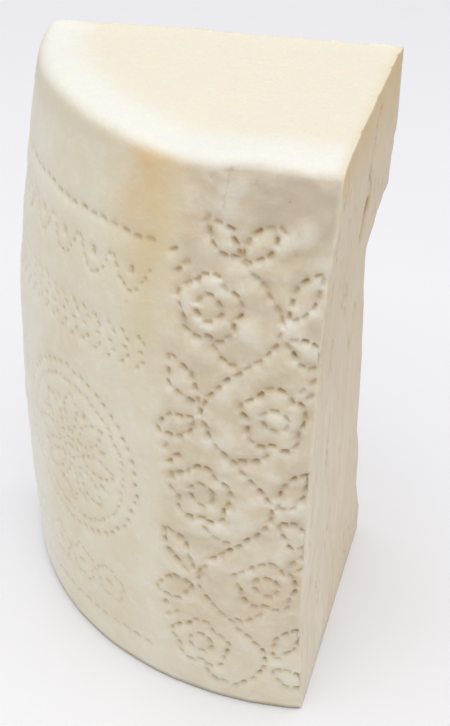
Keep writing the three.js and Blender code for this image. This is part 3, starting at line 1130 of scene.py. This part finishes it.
def brined_rind(material):
    mottle = share(material, pattern(material, 34 * MM), 0.35, 0.7)
    colour = tinted(material, RIND_IVORY, RIND_WARM, mottle)
    rosy = share(material, pattern(material, 16 * MM, shift=(7, 1, 3)), 0.2, 0.6)
    rosy = times(material, times(material, kept(material, "rosy"), rosy), 0.85)
    colour = tinted(material, colour, RIND_ROSY, rosy)
    salt = share(material, pattern(material, 7 * MM, shift=(3, 1, 4)), 0.52, 0.75)
    colour = tinted(material, colour, SALT_AND_PAINTED_LIGHT_WHITE, times(material, salt, 0.4))
    # Painted light on the left and along the foot.
    colour = tinted(material, colour, SALT_AND_PAINTED_LIGHT_WHITE, kept(material, "pale"))
    # Painted shade.
    colour = tinted(material, colour, SHADE_AND_DRAG_GREY, kept(material, "painted_shade"))
    colour = tinted(material, colour, RIND_TOP, kept(material, "top"))
    # The white of the rim and the crumbs, with painted highlights on the pillows and below the marks.
    colour = tinted(material, colour, SALT_AND_PAINTED_LIGHT_WHITE, kept(material, "white"))
    colour = tinted(material, colour, RIND_YELLOW, times(material, kept(material, "near_cut"), 0.6))
    patchy = share(material, pattern(material, 12 * MM, shift=(1, 6, 2)), 0.1, 0.6)
    colour = tinted(material, colour, STREAK_OLIVE, times(material, kept(material, "streak"), 0.65))
    stain = times(material, times(material, kept(material, "stain"), patchy), 0.72)
    colour = tinted(material, colour, STAIN_TAN, stain)
    # Painted contact shadow along the foot.
    colour = tinted(material, colour, CONTACT_SHADOW_OLIVE, times(material, kept(material, "contact_shadow"), 0.75))
    whey = share(material, pattern(material, 9 * MM, detail=2.0, shift=(5, 5, 2)), 0.25, 0.65)
    whey = times(material, kept(material, "mark"), add(material, "MapRange", {
        "Value": whey, "To Min": 0.35, "To Max": 0.9,
    }).outputs["Result"])
    colour = tinted(material, colour, WHEY_TAN, whey)
    # Painted shade: the deepest marks are painted darker still.
    deep = share(material, kept(material, "mark"), 0.75, 1.1)
    colour = tinted(material, colour, WHEY_AND_SHADE_DEEP, times(material, deep, 0.45))
    # Painted highlight along the worn edges.
    colour = tinted(material, colour, RIND_IVORY, times(material, kept(material, "arris"), 0.4))
    grain = pattern(material, 1.3 * MM, detail=4.0)
    weave = pattern(material, 4 * MM, detail=2.0, shift=(2, 2, 5))
    normal = bumped(material, weave, 0.5 * MM)
    normal = bumped(material, grain, 0.22 * MM, normal)
    roughness = add(material, "MapRange", {"Value": grain, "To Min": 0.5, "To Max": 0.72})
    finish(material, colour, roughness.outputs["Result"], normal)


def cut_paste(material):
    band = pattern(material, 6 * MM, stretch=(1, 1, 6), detail=3.0, shift=(1, 3, 2))
    drag = pattern(material, 2.4 * MM, stretch=(1, 1, 5), detail=3.0)
    fine = pattern(material, 0.8 * MM, stretch=(1, 1, 10), detail=2.0, shift=(5, 1, 1))
    cloud = share(material, pattern(material, 40 * MM, shift=(2, 8, 1)), 0.35, 0.7)
    colour = tinted(material, PASTE_CREAM, PASTE_STRAW, times(material, cloud, 0.6))
    colour = tinted(material, colour, PASTE_ROSY, times(material, kept(material, "core"), 0.6))
    # Painted shade towards the top of the cut faces.
    colour = tinted(material, colour, PASTE_SHADE_AND_BAND, times(material, kept(material, "shaded_upper"), 0.6))
    colour = tinted(material, colour, PASTE_SHADE_AND_BAND, times(material, share(material, band, 0.42, 0.66), 0.3))
    colour = tinted(material, colour, SHADE_AND_DRAG_GREY, times(material, share(material, drag, 0.48, 0.7), 0.35))
    colour = tinted(material, colour, PASTE_YELLOW, times(material, kept(material, "under_top"), 0.7))
    colour = tinted(material, colour, WHEY_TAN, times(material, kept(material, "mark"), 0.9))
    # Painted shade: the deepest grooves of the crack, tears and pits are painted dark olive.
    deep = share(material, kept(material, "mark"), 0.5, 0.95)
    colour = tinted(material, colour, CRACK_SHADE_OLIVE, times(material, deep, 0.95))
    colour = tinted(material, colour, SALT_AND_PAINTED_LIGHT_WHITE, times(material, kept(material, "white"), 0.8))
    # Painted highlight along the worn edges.
    colour = tinted(material, colour, PASTE_CREAM, times(material, kept(material, "arris"), 0.2))
    normal = bumped(material, band, 0.5 * MM)
    normal = bumped(material, drag, 0.4 * MM, normal)
    normal = bumped(material, fine, 0.2 * MM, normal)
    roughness = add(material, "MapRange", {"Value": fine, "To Min": 0.45, "To Max": 0.68})
    finish(material, colour, roughness.outputs["Result"], normal)


def broken_paste(material):
    coarse = pattern(material, 9 * MM, detail=5.0, shift=(4, 2, 3))
    crumb = pattern(material, 1.1 * MM, detail=4.0, shift=(8, 3, 1))
    colour = tinted(material, BREAK_DEEP, BREAK_PALE, share(material, coarse, 0.3, 0.65))
    colour = tinted(material, colour, SALT_AND_PAINTED_LIGHT_WHITE, times(material, share(material, crumb, 0.55, 0.8), 0.5))
    normal = bumped(material, coarse, 1.4 * MM)
    normal = bumped(material, crumb, 0.5 * MM, normal)
    roughness = add(material, "MapRange", {"Value": crumb, "To Min": 0.6, "To Max": 0.8})
    finish(material, colour, roughness.outputs["Result"], normal)


recipes = ((rind_finish, brined_rind), (paste_finish, cut_paste), (broken_finish, broken_paste))
for material, recipe in recipes:
    material.use_nodes = True
    recipe(material)

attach(cheese, "root")
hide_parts("cheese_chunk")

# ------------------------------------------------------------------------------------------
# The studio: a seamless pale table, one wide soft light overhead from the left, and pale
# surroundings that fill the shadows.
# ------------------------------------------------------------------------------------------
FLOOR_SIZE = 8.0
FLOOR_COLOUR = linear("#f9f9fd")
SOFTBOX_PLACE = (-0.05, -0.5, 3.0)
SOFTBOX_AIM = (0, 0, 0.15)
SOFTBOX_SIZE = 3.4
SOFTBOX_POWER = 66
SURROUND_LIGHT = 0.485

bpy.ops.object.select_all(action="DESELECT")
bpy.ops.mesh.primitive_plane_add(size=FLOOR_SIZE)
floor = bpy.context.object
floor.name = "table_surface"
table_finish = bpy.data.materials.new("matt_table")
table_finish.use_nodes = True
table_shader = table_finish.node_tree.nodes["Principled BSDF"]
table_shader.inputs["Base Color"].default_value = FLOOR_COLOUR
table_shader.inputs["Roughness"].default_value = 0.6
table_shader.inputs["Specular IOR Level"].default_value = 0.2
floor.data.materials.append(table_finish)

bpy.ops.object.light_add(type="AREA", location=SOFTBOX_PLACE)
softbox = bpy.context.object
softbox.name = "softbox"
softbox.data.shape = "SQUARE"
softbox.data.size = SOFTBOX_SIZE
softbox.data.energy = SOFTBOX_POWER
softbox.visible_camera = False
light_path = Vector(SOFTBOX_AIM) - Vector(SOFTBOX_PLACE)
softbox.rotation_euler = light_path.to_track_quat("-Z", "Y").to_euler()

surround = bpy.data.worlds.new("surround")
bpy.context.scene.world = surround
surround.use_nodes = True
surround.node_tree.nodes["Background"].inputs["Color"].default_value = (1, 1, 1, 1)
surround.node_tree.nodes["Background"].inputs["Strength"].default_value = SURROUND_LIGHT
bpy.context.scene.view_settings.view_transform = "Standard"
